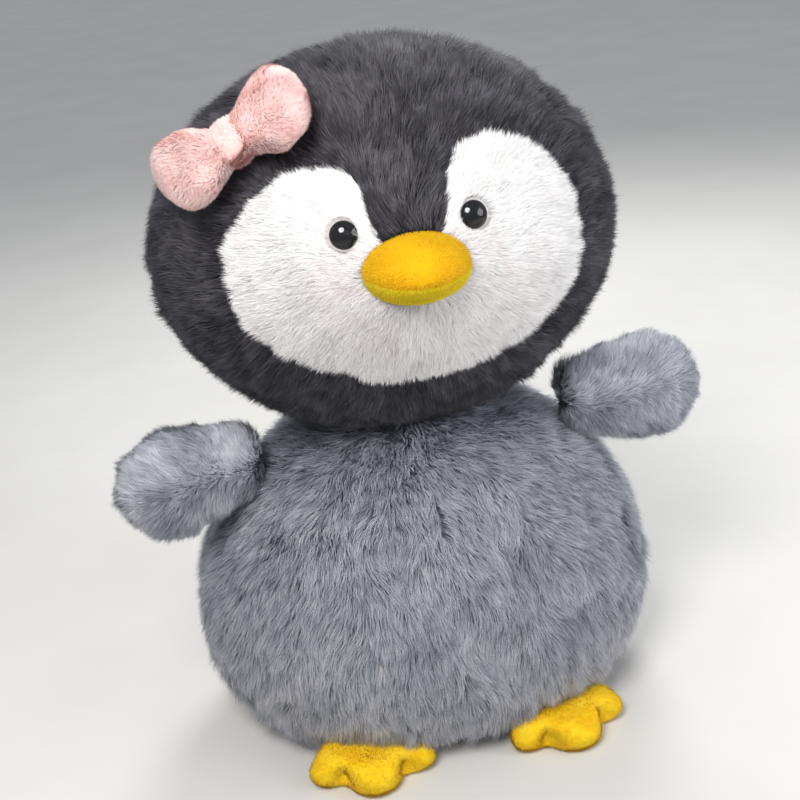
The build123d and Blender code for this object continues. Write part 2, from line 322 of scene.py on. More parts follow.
def grow(name, at, normal, comb, length, tone, material, seed, lean=0.9, width=0.4 * MM, clump=2.6 * MM,
         gather=0.55, wander=0.5, wild=0.12, mottle=0.10, floor=0.6 * MM):
    """One piece of fur: a tapering two-part blade of hair at each place, combed, waved and drawn into clumps.

    comb, length and tone are one value per hair. lean is its mean tilt from upright, in radians.
    """
    rng = np.random.default_rng(seed)
    count = len(at)
    along = unit(comb - (comb * normal).sum(1, keepdims=True) * normal)
    across = np.cross(normal, along)
    swing = wander * (0.6 * waves(at, 34 * MM, seed + 1) + 0.4 * waves(at, 11 * MM, seed + 2))
    swing += rng.normal(0, 0.22, count)
    along = along * np.cos(swing)[:, None] + across * np.sin(swing)[:, None]
    tilt = lean * (1 + 0.16 * waves(at, 20 * MM, seed + 3)) + rng.normal(0, 0.13, count)
    stray = rng.random(count) < wild
    tilt = np.where(stray, tilt * rng.uniform(0.45, 0.9, count), tilt)
    tall = length * (1 + 0.12 * waves(at, 16 * MM, seed + 4)) * rng.uniform(0.78, 1.12, count)
    low, high = np.clip(tilt * 0.6, 0.05, 1.35)[:, None], np.clip(tilt * 1.3, 0.1, 1.5)[:, None]
    half = (tall * 0.5)[:, None]
    middle = at + half * (normal * np.cos(low) + along * np.sin(low))
    tip = middle + half * (normal * np.cos(high) + along * np.sin(high))

    leaders = spread(at, rng, clump)
    mine = leaders[nearest(at, leaders)]
    pull = gather * rng.uniform(0.4, 1.0, count)[:, None]
    tip += pull * (tip[mine] + (at - at[mine]) * 0.25 - tip)
    middle += 0.5 * pull * (middle[mine] + (at - at[mine]) * 0.6 - middle)
    tip[:, 2], middle[:, 2] = np.maximum(tip[:, 2], floor), np.maximum(middle[:, 2], floor)

    run = unit(tip - at)
    flat = unit(np.cross(run, normal))
    turn = rng.uniform(-0.8, 0.8, count)[:, None]
    flat = flat * np.cos(turn) + np.cross(run, flat) * np.sin(turn)
    wide = width * rng.uniform(0.7, 1.25, count)[:, None]
    points = np.stack([
        at - flat * wide * 0.5, at + flat * wide * 0.5,
        middle - flat * wide * 0.42, middle + flat * wide * 0.42, tip,
    ], 1).reshape(-1, 3)
    base = (np.arange(count) * 5)[:, None, None]
    corners = (base + np.array([[0, 1, 2], [2, 1, 3], [2, 3, 4]])).reshape(-1, 3)

    mesh = bpy.data.meshes.new(name)
    mesh.vertices.add(len(points))
    mesh.vertices.foreach_set("co", points.ravel())
    mesh.loops.add(corners.size)
    mesh.loops.foreach_set("vertex_index", corners.ravel().astype(np.int32))
    mesh.polygons.add(len(corners))
    mesh.polygons.foreach_set("loop_start", np.arange(0, corners.size, 3, dtype=np.int32))
    mesh.polygons.foreach_set("use_smooth", np.ones(len(corners), bool))
    mesh.update(calc_edges=True)
    clumped = rng.normal(0, mottle, count)[mine]
    shade = tone + mottle * waves(at, 9 * MM, seed + 5) + rng.normal(0, mottle, count) + clumped
    shade = np.clip(shade, 0.01, 0.99)
    uv = np.stack([np.repeat(shade, 5), np.tile([0.02, 0.02, 0.55, 0.55, 0.98], count)], 1)
    layer = mesh.uv_layers.new(name="OFBake")
    layer.uv.foreach_set("vector", uv[corners.ravel()].astype(np.float32).ravel())
    lit = unit(normal * 0.8 + flat * rng.normal(0, 0.35, (count, 1)) + run * 0.15)
    mesh.normals_split_custom_set_from_vertices(np.repeat(lit, 5, 0).astype(np.float32))
    mesh.materials.append(material)
    obj = bpy.data.objects.new(name, mesh)
    bpy.context.collection.objects.link(obj)
    return obj


def quarters(at):
    """Which hairs grow on the left and right half of the front and of the back, as the covers are cut."""
    front, left = at[:, 1] < BACK_SEAM, at[:, 0] < 0
    return {
        "front_left": front & left,
        "front_right": front & ~left,
        "back_left": ~front & left,
        "back_right": ~front & ~left,
    }


def finish_piece(obj, body, nodes=()):
    """Hangs a piece on its CAD body and hides the CAD parts it stands in for."""
    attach(obj, body)
    if nodes:
        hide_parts(*nodes)
    return obj


# ---------------------------------------------------------------- shared finishes
# first list: colours at the roots, darker as painted shade deep in the pile; second list: colours at the tips
GREY_FUR = fur_material(
    "grey fur",
    [srgb(80, 82, 92), srgb(114, 117, 126), srgb(146, 146, 153)],
    [srgb(126, 131, 142), srgb(174, 177, 186), srgb(214, 212, 218)],
)
DARK_FUR = fur_material(
    "charcoal fur",
    [srgb(22, 21, 24), srgb(30, 29, 33), srgb(42, 41, 45)],
    [srgb(48, 46, 51), srgb(70, 68, 74), srgb(102, 100, 106)],
)
WHITE_FUR = fur_material(
    "white fur",
    [srgb(214, 204, 202), srgb(224, 219, 218), srgb(232, 229, 228)],
    [srgb(238, 228, 226), srgb(245, 242, 241), srgb(250, 249, 249)],
)
PINK_PILE = fur_material(
    "pink pile",
    [srgb(240, 182, 178), srgb(245, 196, 191), srgb(248, 208, 203)],
    [srgb(247, 202, 197), srgb(251, 214, 209), srgb(253, 228, 224)],
)
# painted shade: the grey backing is coloured darker than even the grey fur's roots, for the shade under the pile
SHADED_GREY_CLOTH = cloth_material("grey backing", srgb(58, 62, 72), srgb(84, 90, 102))
DARK_CLOTH = cloth_material("charcoal backing", srgb(20, 19, 23), srgb(34, 33, 39))
WHITE_CLOTH = cloth_material("white backing", srgb(205, 196, 194), srgb(228, 222, 220))
PINK_CLOTH = cloth_material("pink backing", srgb(246, 204, 199), srgb(250, 216, 211))
BASE_CLOTH = cloth_material("base cloth", srgb(96, 102, 114), srgb(128, 134, 146), 1400.0)
YELLOW_VELOUR = velour_material("yellow velour", srgb(230, 178, 10), srgb(240, 200, 26), srgb(246, 214, 50))
YELLOW_PILE = fur_material(
    "yellow pile",
    [srgb(222, 164, 8), srgb(232, 184, 16), srgb(238, 198, 30)],
    [srgb(236, 190, 20), srgb(244, 210, 36), srgb(250, 224, 70)],
)
BILL_PILE = fur_material(
    "bill pile",
    [srgb(218, 152, 4), srgb(228, 172, 6), srgb(224, 194, 16)],
    [srgb(232, 172, 6), srgb(242, 194, 12), srgb(242, 218, 44)],
)
ORANGE_VELOUR = velour_material("orange velour", srgb(218, 160, 4), srgb(232, 178, 6), srgb(242, 192, 14))
LEMON_VELOUR = velour_material("lemon velour", srgb(214, 184, 8), srgb(230, 202, 16), srgb(240, 216, 34))


# ---------------------------------------------------------------- body
def body_skin():
    """The body's cloth: flat base, full flanks and flat shoulder, with a hollow under the front for the feet."""
    top, bottom = BODY_TOP, cad_low[2]
    level = BODY_WIDEST
    base, shoulder, widest = BODY_BASE_HALF, BODY_SHOULDER_HALF, BODY_HALF
    profile = [(base * s, bottom) for s in (0.3, 0.6, 0.85, 0.96)]
    for a in np.linspace(-90, 0, 22):
        profile.append((base + (widest - base) * cos(radians(a)), level + (level - bottom) * sin(radians(a))))
    for a in np.linspace(0, 90, 34)[1:]:
        reach = shoulder + (widest - shoulder) * cos(radians(a))
        profile.append((reach, level + (top - level) * sin(radians(a))))
    profile += [(shoulder * s, top) for s in (0.8, 0.55, 0.3)]
    around = np.linspace(0, 2 * pi, 128, endpoint=False)
    rings = np.array([
        np.stack([r * np.cos(around), r * DEPTH_RATIO * np.sin(around), np.full(128, z)], 1) for r, z in profile
    ])
    skin = lofted("body_skin", rings, (0, 0, bottom), (0, 0, top), SHADED_GREY_CLOTH)
    points, normals = vertex_data(skin)
    sunk = points - normals * (PILE - 5 * MM * smooth(0.155, 0.180, points[:, 2]))[:, None]
    ledge = FOOT_TOP + 1.0 * MM
    pivot = np.array(JOINTS["foot_right_splay"]["pos_m"])
    heel = np.hypot(np.abs(sunk[:, 0]) - pivot[0], sunk[:, 1] - pivot[1])
    room = np.maximum(smooth(-0.050, -0.058, sunk[:, 1]), smooth(0.026, 0.021, heel))
    sunk[:, 2] = np.where(sunk[:, 2] < ledge, sunk[:, 2] + room * (ledge - sunk[:, 2]), sunk[:, 2])
    set_points(skin, sunk)
    return skin


def body_comb(at):
    """Downwards on the flanks, outwards on the shoulder, parting a little from the middle of the front."""
    over = smooth(0.120, 0.178, at[:, 2])
    outward = 1.5 + 9 * over
    comb = np.stack([at[:, 0] * outward, at[:, 1] * outward, -np.ones(len(at)) * (1 - 0.7 * over)], 1)
    comb[:, 0] += 0.12 * waves(at, 90 * MM, 11)
    return comb


def make_body():
    skin = body_skin()
    rng = np.random.default_rng(1)
    at, normal = scatter(skin, 250000, rng, lambda p, n: (n[:, 2] > -0.86) & (np.hypot(p[:, 0], p[:, 1]) > 0.036))
    low = smooth(0.060, 0.012, at[:, 2])
    tone = 0.46 + 0.22 * smooth(0.120, 0.020, at[:, 2]) + 0.07 * waves(at, 45 * MM, 21)
    # painted shade: the body's fur darkens towards its top, where it lies under the head
    tone -= 0.30 * smooth(0.150, 0.176, at[:, 2])
    length = 12.5 * MM * (1 + 0.22 * low * smooth(-0.030, -0.060, at[:, 1]))
    comb = body_comb(at)
    regions = quarters(at)
    for seed, (region, mask) in enumerate(regions.items()):
        fur = grow(f"body_fur_{region}", at[mask], normal[mask], comb[mask], length[mask], tone[mask],
                   GREY_FUR, 100 + 10 * seed, width=0.30 * MM, clump=1.8 * MM, gather=0.4, mottle=0.12)
        finish_piece(fur, "body")
    covers = ["body_front_panel", "body_back_left_panel", "body_back_right_panel", "body_stuffing"]
    finish_piece(skin, "body", covers)
    base = frame["nodes"]["body_base_panel"]
    base.data.materials.clear()
    base.data.materials.append(BASE_CLOTH)


# ---------------------------------------------------------------- neck
def make_neck():
    """The stuffed plug between body and head, with a collar of body fur darkened as painted shade."""
    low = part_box("neck_stuffing")[0]
    pivot = np.array(JOINTS["head_nod"]["pos_m"])
    around = np.linspace(0, 2 * pi, 96, endpoint=False)
    ball = NECK_BALL - 0.3 * MM
    rings = [
        np.stack([r * 0.052 * np.cos(around), r * 0.046 * np.sin(around), np.full(96, low[2])], 1)
        for r in (0.5, 0.97)
    ]
    for a in np.linspace(asin(0.052 / ball), 0.05, 14):
        height = pivot[2] + ball * cos(a)
        reach = ball * sin(a)
        rings.append(np.stack([reach * np.cos(around), reach * 0.9 * np.sin(around), np.full(96, height)], 1))
    neck = lofted("neck_core", np.array(rings), (0, 0, low[2]), (0, 0, pivot[2] + ball), SHADED_GREY_CLOTH)
    rng = np.random.default_rng(3)
    at, normal = scatter(neck, 16000, rng, lambda p, n: np.hypot(p[:, 0], p[:, 1] / 0.9) > 0.036)
    comb = np.stack([at[:, 0], at[:, 1], np.full(len(at), -0.01)], 1)
    # painted shade: the collar takes the dark end of the grey palette, for the shade between head and body
    length, tone = np.full(len(at), 12 * MM), np.full(len(at), 0.15)
    fur = grow("neck_fur", at, normal, comb, length, tone, GREY_FUR, 90, lean=0.7)
    finish_piece(fur, "neck")
    finish_piece(neck, "neck", ["neck_stuffing"])


# ---------------------------------------------------------------- head
def face_edges():
    """The face patch's outline about the head's middle, from x = 0 outwards: (x, lower height, upper height)."""
    knots = np.array([(-48, -45)] + FACE_OUTLINE + [(-15, 33)], float) * MM
    curve = []
    for a, b, c, d in zip(knots, knots[1:], knots[2:], knots[3:]):
        for t in np.linspace(0, 1, 12, endpoint=False):
            bend, twist = 2 * a - 5 * b + 4 * c - d, 3 * b - a - 3 * c + d
            curve.append(0.5 * (2 * b + (c - a) * t + bend * t**2 + twist * t**3))
    curve = np.array(curve + [knots[-2]])
    turn = int(np.argmax(curve[:, 0]))
    lower, upper = curve[: turn + 1], curve[turn:][::-1]
    x = np.sin(np.linspace(0, pi / 2, 48)) * curve[turn, 0]
    return x, np.interp(x, lower[:, 0], lower[:, 1]), np.interp(x, np.maximum.accumulate(upper[:, 0]), upper[:, 1])


FACE_X, FACE_LOW, FACE_HIGH = face_edges()


def face_depth(at):
    """How far inside the face patch's outline, in metres up or down, and negative outside."""
    x, z = np.abs(at[:, 0]), at[:, 2] - HEAD_MIDDLE
    low, high = np.interp(x, FACE_X, FACE_LOW), np.interp(x, FACE_X, FACE_HIGH)
    inside = np.minimum(z - low, high - z)
    inside = np.minimum(inside, (FACE_X[-1] - x) * 2)
    return np.where(at[:, 1] < 0, inside, -1.0)


def white_depth(at):
    """How far inside the area where white hairs start: they lean out over the edge, so it is a smaller one."""
    border = np.where(at[:, 0] < 0, 8, 4.5) * MM * smooth(0.020, 0.040, np.abs(at[:, 0]))
    return face_depth(at) - border


def head_surface(x, z, sink):
    """The depth of the head's front at x and z, sunk by sink."""
    half, depth, crown, chin = HEAD_HALF - sink, HEAD_HALF * DEPTH_RATIO - sink, CROWN - sink, CHIN - sink
    tall = np.where(z > 0, crown, chin)
    return -depth * np.sqrt(np.maximum(1 - (x / half) ** 2 - (z / tall) ** 2, 0))


def head_skin():
    around = np.linspace(0, 2 * pi, 128, endpoint=False)
    half, depth = HEAD_HALF, HEAD_HALF * DEPTH_RATIO
    rings = []
    for a in np.linspace(-86, 86, 72):
        r, z = cos(radians(a)), (CROWN if a > 0 else CHIN) * sin(radians(a))
        level = np.full(128, z + HEAD_MIDDLE)
        rings.append(np.stack([half * r * np.cos(around), depth * r * np.sin(around), level], 1))
    lowest, highest = (0, 0, HEAD_MIDDLE - CHIN), (0, 0, HEAD_MIDDLE + CROWN)
    skin = lofted("head_skin", np.array(rings), lowest, highest, DARK_CLOTH)
    points, normals = vertex_data(skin)
    sunk = points - normals * (PILE - 5.5 * MM * smooth(-0.060, -0.092, points[:, 2] - HEAD_MIDDLE))[:, None]
    pivot = np.array(JOINTS["head_nod"]["pos_m"])
    reach = np.linalg.norm(sunk - pivot, axis=1, keepdims=True)
    sunk = np.where(reach < NECK_BALL, pivot + (sunk - pivot) * NECK_BALL / reach, sunk)
    set_points(skin, sunk)
    return skin


def face_skin():
    """The white patch of cloth, sewn flush into the head's front."""
    columns = np.concatenate([-FACE_X[::-1], FACE_X[1:]])
    rows = 40
    points = []
    for x in columns:
        low, high = np.interp(abs(x), FACE_X, FACE_LOW), np.interp(abs(x), FACE_X, FACE_HIGH)
        z = np.linspace(low, high, rows)
        y = head_surface(x, z, PILE - 0.5 * MM)
        points.append(np.stack([np.full(rows, x), y, z + HEAD_MIDDLE], 1))
    faces = []
    for i in range(len(columns) - 1):
        for j in range(rows - 1):
            a = i * rows + j
            faces.append((a, a + rows, a + rows + 1, a + 1))
    return mesh_object("face_skin", np.vstack(points), faces, WHITE_CLOTH)


def head_comb(at):
    """Away from the bill over the front and the crown, and down the back."""
    out = at - np.array([0, 0, HEAD_MIDDLE + 10 * MM])
    front = np.stack([out[:, 0], np.abs(out[:, 1]) * 0.35 + 0.01, out[:, 2]], 1)
    down = np.stack([out[:, 0] * 0.3, out[:, 1] * 0.2, -np.full(len(at), 0.1)], 1)
    back = smooth(0.0, 0.055, at[:, 1])[:, None]
    return unit(front) * (1 - back) + unit(down) * back


def clear_of_eyes_and_bill(at):
    """True where hairs are free to grow: not under the eyes or the bill."""
    free = np.ones(len(at), bool)
    for side in SIDES:
        low, high = (np.array(c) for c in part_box(f"eye_{side}_lens"))
        middle = (low + high) / 2
        free &= np.linalg.norm(at - middle, axis=1) > 9.0 * MM
    low, high = (np.array(c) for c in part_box("beak_upper"))
    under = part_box("beak_lower")[0][2]
    middle, half = (under + high[2]) / 2, (high[2] - under) / 2
    oval = (at[:, 0] / (high[0] - 1 * MM)) ** 2 + ((at[:, 2] - middle) / (half - 1 * MM)) ** 2
    return free & ((oval > 1) | (at[:, 1] > 0))


def clear_of_neck(at):
    """True where hairs are free to grow: not where head and neck lie on each other."""
    return (np.hypot(at[:, 0], at[:, 1]) > 30 * MM) | (at[:, 2] > HEAD_MIDDLE)


def make_head():
    skin, face = head_skin(), face_skin()
    rng = np.random.default_rng(2)
    at, normal = scatter(skin, 280000, rng, lambda p, n: clear_of_eyes_and_bill(p) & clear_of_neck(p))
    inside = white_depth(at)
    white = inside > 0
    comb = head_comb(at)
    tone = 0.46 + 0.16 * waves(at, 50 * MM, 22)
    # painted shade: the fur darkens towards the bottom of the head, where it turns under towards the neck
    tone -= 0.30 * smooth(HEAD_MIDDLE - 0.050, HEAD_MIDDLE - 0.085, at[:, 2])
    dark_length = 12.0 * MM * (1 - 0.25 * smooth(HEAD_MIDDLE - 0.060, HEAD_MIDDLE - 0.090, at[:, 2]))
    dark_length *= 1 - 0.35 * smooth(-0.012, 0.0, inside)
    regions = quarters(at)
    for seed, (region, mask) in enumerate(regions.items()):
        mask = mask & ~white
        fur = grow(f"head_fur_{region}", at[mask], normal[mask], comb[mask], dark_length[mask], tone[mask],
                   DARK_FUR, 200 + 10 * seed, width=0.36 * MM, clump=2.2 * MM, gather=0.5, wander=0.4, mottle=0.17)
        finish_piece(fur, "head")

    more, more_normal = scatter(face, 105000, rng, lambda p, n: clear_of_eyes_and_bill(p) & (white_depth(p) > 0))
    outward = more_normal * np.where(more_normal[:, 1:2] > 0, -1, 1)
    length = np.full(len(more), 8.5 * MM)
    eyes = np.min([np.linalg.norm(more - np.mean(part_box(f"eye_{s}_lens"), axis=0), axis=1) for s in SIDES], axis=0)
    length *= 0.55 + 0.45 * smooth(0.009, 0.020, eyes)
    pink = smooth(0.040, 0.018, np.hypot(np.abs(more[:, 0]) - 0.030, more[:, 2] - HEAD_MIDDLE + 6 * MM))
    tone = 0.66 - 0.22 * pink + 0.10 * waves(more, 30 * MM, 23)
    for seed, side in enumerate(SIDES):
        mask = more[:, 0] * SIDES[side] > 0
        fur = grow(f"face_fur_{side}", more[mask], outward[mask], head_comb(more[mask]), length[mask], tone[mask],
                   WHITE_FUR, 300 + 10 * seed, lean=0.85, width=0.3 * MM, clump=1.8 * MM, gather=0.4,
                   wander=0.35, wild=0.2)
        finish_piece(fur, "head")
    covers = ["head_front_panel", "head_back_left_panel", "head_back_right_panel", "head_stuffing"]
    finish_piece(skin, "head", covers)
    finish_piece(face, "head", ["face_patch"])


make_body()
make_neck()
make_head()


# ---------------------------------------------------------------- cloth
def settle(obj, voxel, pressure, reach, passes=20, floor=None):
    """Fills a closed padded form as cloth: blown up softly, with no point moving further than reach."""
    before = obj.modifiers.new("remesh", "REMESH")
    before.mode, before.voxel_size, before.use_smooth_shade = "VOXEL", voxel, True
    bake_modifiers(obj)
    start = vertex_data(obj)[0]
    cloth = obj.modifiers.new("cloth", "CLOTH")
    cloth.settings.quality = 6
    cloth.settings.mass = 0.15
    cloth.settings.tension_stiffness = cloth.settings.compression_stiffness = 12
    cloth.settings.bending_stiffness = 0.8
    cloth.settings.use_pressure = True
    cloth.settings.uniform_pressure_force = pressure
    cloth.settings.effector_weights.gravity = 0
    cloth.point_cache.frame_start, cloth.point_cache.frame_end = 1, passes
    scene = bpy.context.scene
    for step in range(1, passes + 1):
        scene.frame_set(step)
    bake_modifiers(obj)
    scene.frame_set(1)
    moved = vertex_data(obj)[0] - start
    far = np.linalg.norm(moved, axis=1, keepdims=True)
    points = start + moved * np.minimum(1, reach / np.maximum(far, 1e-9))
    if floor is not None:
        points[:, 2] = np.maximum(points[:, 2], floor)
    set_points(obj, points)
    return obj


def bake_modifiers(obj):
    """Replaces the mesh by what its modifiers make of it."""
    seen = obj.evaluated_get(bpy.context.evaluated_depsgraph_get())
    mesh = bpy.data.meshes.new_from_object(seen)
    materials = list(obj.data.materials)
    obj.modifiers.clear()
    obj.data = mesh
    mesh.materials.clear()
    for material in materials:
        mesh.materials.append(material)
    mesh.polygons.foreach_set("use_smooth", np.ones(len(mesh.polygons), bool))


def refine(obj, levels=1):
    smoother = obj.modifiers.new("refine", "SUBSURF")
    smoother.levels = smoother.render_levels = levels
    bake_modifiers(obj)
    return obj


# ---------------------------------------------------------------- wings
WING_BLADE = [(2, 23), (10, 24), (20, 26), (34, 30), (48, 32), (62, 28.8), (71, 22.5), (76.5, 15), (79, 8.5)]
WING_SWEEP, WING_LIFT = 12, {"left": -5, "right": 5}
WING_THIN = 0.62


def wing_frame(side):
    """The wing's own axes in the row frame: out along the blade, across it to the front, and up."""
    sign = SIDES[side]
    lift, sweep = radians(WING_LIFT[side]), radians(WING_SWEEP)
    out = np.array([sign * cos(lift) * cos(sweep), -sin(sweep), sin(lift)])
    out /= np.linalg.norm(out)
    front = np.cross([0, 0, 1.0], out) * -sign
    front /= np.linalg.norm(front)
    up = np.cross(out, front) * -sign
    return out, front, unit(up)


def make_wing(side, seed):
    pivot = np.array(JOINTS[f"wing_{side}_swing"]["pos_m"])
    out, front, up = wing_frame(side)
    around = np.linspace(0, 2 * pi, 72, endpoint=False) * SIDES[side]
    rings = []
    for reach, half in WING_BLADE:
        reach, half = reach * MM, (half - 6.5) * MM
        reach -= 8.5 * MM * smooth(0.040, 0.078, reach)
        crown = half * WING_THIN * (1 - 0.06 * np.abs(np.sin(around)))
        ring = pivot + out * reach + np.outer(np.cos(around) * crown, front) + np.outer(np.sin(around) * half, up)
        rings.append(ring)
    skin = lofted(f"wing_{side}_skin", np.array(rings), pivot - out * 0.004, pivot + out * 0.0715, SHADED_GREY_CLOTH)
    refine(skin, 2)
    rng = np.random.default_rng(seed)

    def free(p, n):
        return (p - pivot) @ out > -2 * MM

    at, normal = scatter(skin, 40000, rng, free)
    local = at - pivot
    along, height = local @ out, local @ up
    bend = 3 * MM * np.sin(along / 0.014 + seed)
    fan = np.tanh((height - bend) / (7 * MM))
    comb = out * (0.55 + 0.6 * smooth(0.04, 0.075, along))[:, None] + np.outer(fan, up) * 1.0
    parting = np.exp(-(((height - bend) / (5 * MM)) ** 2)) * smooth(0.072, 0.05, along)
    # painted shade: the fur darkens along the parting's crease, and a little towards the root where the wing meets
    # the body
    tone = 0.50 - 0.30 * parting + 0.14 * waves(at, 30 * MM, seed + 6) - 0.03 * smooth(0.040, 0.015, along)
    length = 11.5 * MM * (1 - 0.25 * parting)
    fur = grow(f"wing_{side}_fur", at, normal, comb, length, tone, GREY_FUR, seed, lean=0.95)
    finish_piece(fur, f"wing_{side}")
    covers = [f"wing_{side}_{part}" for part in ("front_panel", "back_panel", "stuffing")]
    finish_piece(skin, f"wing_{side}", covers)


# ---------------------------------------------------------------- feet
TOES = [(-49, 37, 9.5), (0, 34, 15), (49, 37, 9.5)]  # angle from straight ahead, reach and radius in millimetres
HEEL = 20
FOOT_SPLAY = {"left": -3, "right": 14}


def foot_edge(angles):
    """The foot's outline, as its reach from the pivot at each angle from straight ahead."""
    reach = np.full(len(angles), HEEL * MM)
    for angle, far, radius in TOES:
        off = (angles - radians(angle) + pi) % (2 * pi) - pi
        side = far * np.sin(off)
        hit = (np.abs(side) < radius) & (np.cos(off) > 0)
        tip = far * np.cos(off) + np.sqrt(np.maximum(radius**2 - side**2, 0))
        strip = radius / np.maximum(np.abs(np.sin(off)), 1e-6)
        reach = np.maximum(reach, np.where(hit, tip, np.where(np.cos(off) > 0, strip, 0)) * MM)
    soft = np.exp(-np.linspace(-2, 2, 11) ** 2)
    padded = np.concatenate([reach[-5:], reach, reach[:5]])
    return np.convolve(padded, soft / soft.sum(), "valid")


def direction_of(at, pivot):
    """Level direction from the pivot to each place."""
    return unit((at - pivot)[:, :2])


def make_foot(side, seed):
    pivot = np.array(JOINTS[f"foot_{side}_splay"]["pos_m"])
    turn = radians(FOOT_SPLAY[side])
    angles = np.linspace(0, 2 * pi, 180, endpoint=False)
    edge = foot_edge((angles + pi) % (2 * pi) - pi)
    low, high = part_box(f"foot_{side}_sole")[0][2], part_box(f"foot_{side}_upper")[1][2]
    seam = low + 0.42 * (high - low)
    direction = np.stack([np.sin(angles + turn), -np.cos(angles + turn)], 1)
    wide = np.exp(-np.linspace(-2, 2, 51) ** 2)
    even = np.convolve(np.concatenate([edge[-25:], edge, edge[:25]]), wide / wide.sum(), "valid")
    levels = np.linspace(-90, 90, 25)[1:-1]
    rings = []
    for a in levels:
        share = cos(radians(a))
        round_in = 8 * MM * (1 - share ** 0.9)
        rise = sin(radians(a))
        soft = smooth(0.0, 1.0, abs(rise)) * 0.8
        reach = np.maximum(edge * (1 - soft) + (even + 0.8 * MM) * soft - round_in, 2 * MM)
        height = seam + (high - seam) * abs(rise) ** 0.9 if rise > 0 else seam - (seam - low) * abs(rise) ** 0.9
        pinch = 0.8 * MM * np.exp(-((a / 7) ** 2))
        rings.append(np.column_stack([pivot[:2] + direction * (reach - pinch)[:, None], np.full(180, height)]))
    inner_top, inner_low = [], []
    for s in (0.72, 0.45, 0.2):
        reach = (0.2 * edge + 0.8 * (even + 0.8 * MM) - 8 * MM) * s
        crown = 0.6 * MM * (1 - s)
        inner_top.append(np.column_stack([pivot[:2] + direction * reach[:, None], np.full(180, high + crown)]))
        inner_low.append(np.column_stack([pivot[:2] + direction * reach[:, None], np.full(180, low)]))
    rings = inner_low[::-1] + rings + inner_top
    points = np.array(rings)
    foot = lofted(f"foot_{side}_pad", points, (*pivot[:2], low), (*pivot[:2], high + 0.6 * MM), YELLOW_VELOUR)
    settle(foot, 2.6 * MM, 4.0, 1.0 * MM, floor=low)
    refine(foot, 1)
    rng = np.random.default_rng(seed)
    at, normal = scatter(foot, 26000, rng, lambda p, n: p[:, 2] > low + 1.5 * MM)
    comb = np.column_stack([direction_of(at, pivot), np.full(len(at), -0.2)])
    length, tone = np.full(len(at), 1.7 * MM), np.full(len(at), 0.5)
    pile = grow(f"foot_{side}_pile", at, normal, comb, length, tone, YELLOW_PILE, seed,
                lean=0.8, width=0.22 * MM, clump=1.2 * MM, gather=0.25)
    finish_piece(pile, f"foot_{side}")
    covers = [f"foot_{side}_{part}" for part in ("upper", "sole", "stuffing")]
    finish_piece(foot, f"foot_{side}", covers)


# ---------------------------------------------------------------- bill
def make_bill():
    """Upper and lower panel of short velour that meet at the mouth seam, in one filled form."""
    upper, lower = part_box("beak_upper"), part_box("beak_lower")
    half = upper[1][0]
    back, front = max(upper[1][1], lower[1][1]), min(upper[0][1], lower[0][1])
    top, bottom = upper[1][2], lower[0][2]
    middle, tall, reach = (top + bottom) / 2, (top - bottom) / 2, back - front
    seam = lower[1][2] - middle
    across = np.linspace(-1, 1, 65)

    def panel(name, sign, material, nodes):
        """One panel, as a grid from the mouth seam round to where it meets the face."""
        points = []
        for s in across:
            x = half * s
            room = (max(1 - abs(s) ** 2.1, 0)) ** 0.5
            mouth = (seam + (abs(s) ** 2) * 2.0 * MM) / tall
            start = asin(np.clip(mouth, -0.95, 0.95))
            end = sign * pi / 2
            for t in np.linspace(0, 1, 30):
                a = start + (end - start) * t
                puff = 1 - 0.012 * np.exp(-((t / 0.04) ** 2))
                y = back - reach * room * cos(a) * puff + (1 - room) * 1.0 * MM
                z = middle + tall * room * sin(a) * puff + (1 - room) * (seam + 2 * MM) * 0.6
                points.append((x, y, z))
        faces = []
        for i in range(64):
            for j in range(29):
                a = i * 30 + j
                quad = (a, a + 30, a + 31, a + 1)
                faces.append(quad if sign > 0 else quad[::-1])
        piece = mesh_object(name, points, faces, material)
        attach(piece, "head")
        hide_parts(*nodes)
        return piece

    rng = np.random.default_rng(70)
    top = panel("bill_upper", 1, ORANGE_VELOUR, ["beak_upper", "beak_stuffing"])
    under = panel("bill_lower", -1, LEMON_VELOUR, ["beak_lower"])
    for piece, count, tone in ((top, 12000, 0.35), (under, 8000, 0.92)):
        at, normal = scatter(piece, count, rng)
        normal *= np.sign((normal * (at - np.array([0, back, middle]))).sum(1, keepdims=True))
        comb = np.stack([at[:, 0], np.full(len(at), 0.02), (at[:, 2] - middle) * 0.5], 1)
        length = np.full(len(at), 1.4 * MM)
        pile = grow(piece.name + "_pile", at, normal, comb, length, np.full(len(at), tone), BILL_PILE, 71 + count,
                    lean=0.8, width=0.2 * MM, clump=1.2 * MM, gather=0.25, mottle=0.06)
        finish_piece(pile, "head")


# ---------------------------------------------------------------- eyes
def turned_form(name, profile, base, axis, material):
    """A round form about axis from base: profile is (radius, height) from its rim's foot to its top."""
    axis = unit(np.array(axis, float))
    side = unit(np.cross(axis, [0, 0, 1.0]))
    other = np.cross(axis, side)
    around = np.linspace(0, 2 * pi, 64, endpoint=False)
    rings = np.array([
        base + axis * h + np.outer(np.cos(around) * r, side) + np.outer(np.sin(around) * r, other)
        for r, h in profile
    ])
    return lofted(name, rings, base + axis * profile[0][1], base + axis * profile[-1][1], material)


def dome(radius, skirt, height, rim=0.35 * MM):
    rise = height - skirt
    sphere = (radius**2 + rise**2) / (2 * rise)
    first = asin(radius / sphere)
    profile = [(radius - rim, 0), (radius, rim), (radius, skirt)]
    for a in np.linspace(first, 0.02, 16)[1:]:
        profile.append((sphere * sin(a), height - sphere + sphere * cos(a)))
    return profile


